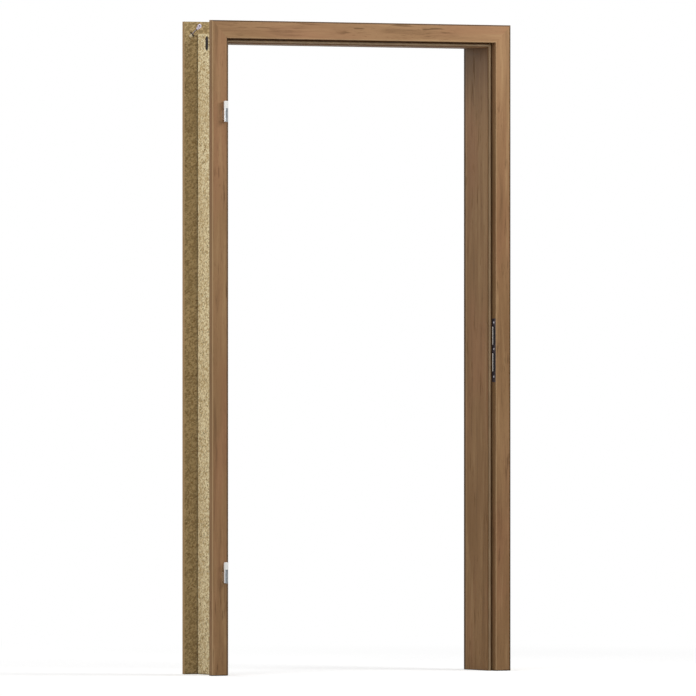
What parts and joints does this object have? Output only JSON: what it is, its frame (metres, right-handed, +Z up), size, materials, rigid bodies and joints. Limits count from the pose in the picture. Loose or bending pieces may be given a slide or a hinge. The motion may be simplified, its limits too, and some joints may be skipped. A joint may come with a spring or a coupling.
{
  "type": "wooden door frame",
  "caption": "Adjustable interior wooden door frame: linings, mitred front casing with seal, sliding back casing, hinge halves and strike plate.",
  "frame": {"origin": "middle of the footprint on the floor, hinges included, with the back casing pushed in", "axes": "+Z up, -Y towards the side where the leaf hangs, hinge jamb on -X and strike jamb on +X"},
  "size_m": [1.078, 0.2125, 2.039],
  "materials": {
    "oak_decor": "brown oak decor film on chipboard, satin, raw board on the wall side",
    "brown_seal": "matt soft profile",
    "hinge_steel": "satin nickel",
    "white_plastic": "smooth white",
    "dark_steel": "dark lacquered steel",
    "black_plastic": "moulded black",
    "zinc_steel": "bright zinc plated"
  },
  "bodies": {
    "frame": {"hinge_jamb_lining": "oak_decor", "strike_jamb_lining": "oak_decor", "head_lining": "oak_decor", "hinge_jamb_front_casing": "oak_decor", "strike_jamb_front_casing": "oak_decor", "head_front_casing": "oak_decor", "hinge_jamb_seal": "brown_seal", "strike_jamb_seal": "brown_seal", "head_seal": "brown_seal", "upper_hinge_sleeve": "hinge_steel", "upper_hinge_pin": "zinc_steel", "upper_hinge_bush": "white_plastic", "upper_hinge_carrier": "zinc_steel", "upper_hinge_clamp_screw": "dark_steel", "upper_carrier_screws": "zinc_steel", "lower_hinge_sleeve": "hinge_steel", "lower_hinge_pin": "zinc_steel", "lower_hinge_bush": "white_plastic", "lower_hinge_carrier": "zinc_steel", "lower_hinge_clamp_screw": "dark_steel", "lower_carrier_screws": "zinc_steel", "strike_plate": "dark_steel", "strike_box": "black_plastic", "strike_screws": "zinc_steel", "hinge_side_lining_connectors": "black_plastic", "strike_side_lining_connectors": "black_plastic", "hinge_side_lining_screws": "dark_steel", "strike_side_lining_screws": "dark_steel", "front_hinge_mitre_eye": "zinc_steel", "front_hinge_mitre_stud": "zinc_steel", "front_hinge_mitre_nut": "zinc_steel", "front_strike_mitre_eye": "zinc_steel", "front_strike_mitre_stud": "zinc_steel", "front_strike_mitre_nut": "zinc_steel"},
    "back_casing": {"hinge_jamb_back_casing": "oak_decor", "strike_jamb_back_casing": "oak_decor", "head_back_casing": "oak_decor", "back_hinge_mitre_eye": "zinc_steel", "back_hinge_mitre_stud": "zinc_steel", "back_hinge_mitre_nut": "zinc_steel", "back_strike_mitre_eye": "zinc_steel", "back_strike_mitre_stud": "zinc_steel", "back_strike_mitre_nut": "zinc_steel"}
  },
  "joints": [
    {"name": "back_casing_slide", "type": "slide", "parent": "frame", "child": "back_casing", "axis": [0, 1, 0], "range_m": [0, 0.02]}
  ]
}
